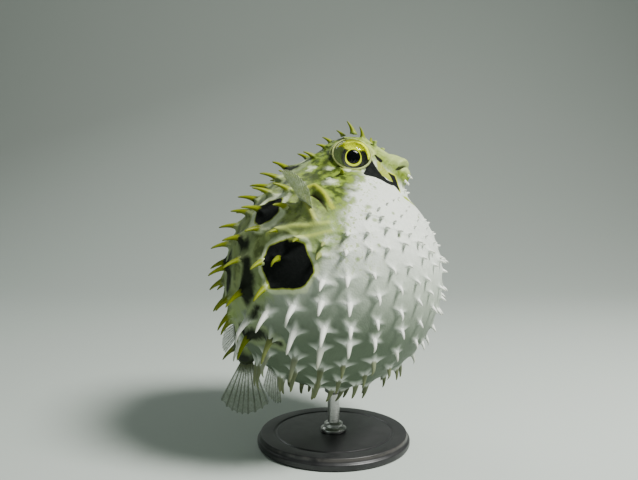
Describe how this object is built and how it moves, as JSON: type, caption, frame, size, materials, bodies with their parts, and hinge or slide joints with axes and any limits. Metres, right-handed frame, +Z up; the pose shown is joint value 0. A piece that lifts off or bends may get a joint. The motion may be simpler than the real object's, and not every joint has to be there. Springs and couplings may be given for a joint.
{
  "type": "burrfish model",
  "caption": "Life-size still model of an inflated burrfish with three-rooted spines, held above a round base by one rod.",
  "frame": {"origin": "middle of the underside of the stand's base, on the floor", "axes": "+Z up; the fish shows its right side and part of its belly towards -Y, and its raised head points to +X and +Z"},
  "size_m": [0.1598, 0.1637, 0.218],
  "materials": {
    "skin": "moist, pebbled, white belly under an olive back with black blotches",
    "fin": "thin translucent membrane over fine rays",
    "eye": "clear domed cornea over a yellow and black iris",
    "stand": "satin black",
    "rod": "brushed"
  },
  "bodies": {
    "root": {"head": "skin", "trunk": "skin", "tail": "skin", "eye_left": "eye", "eye_right": "eye", "caudal_fin": "fin", "dorsal_fin": "fin", "anal_fin": "fin", "pectoral_fin_left": "fin", "pectoral_fin_right": "fin", "stand_base": "stand", "stand_rod": "rod"}
  },
  "joints": []
}
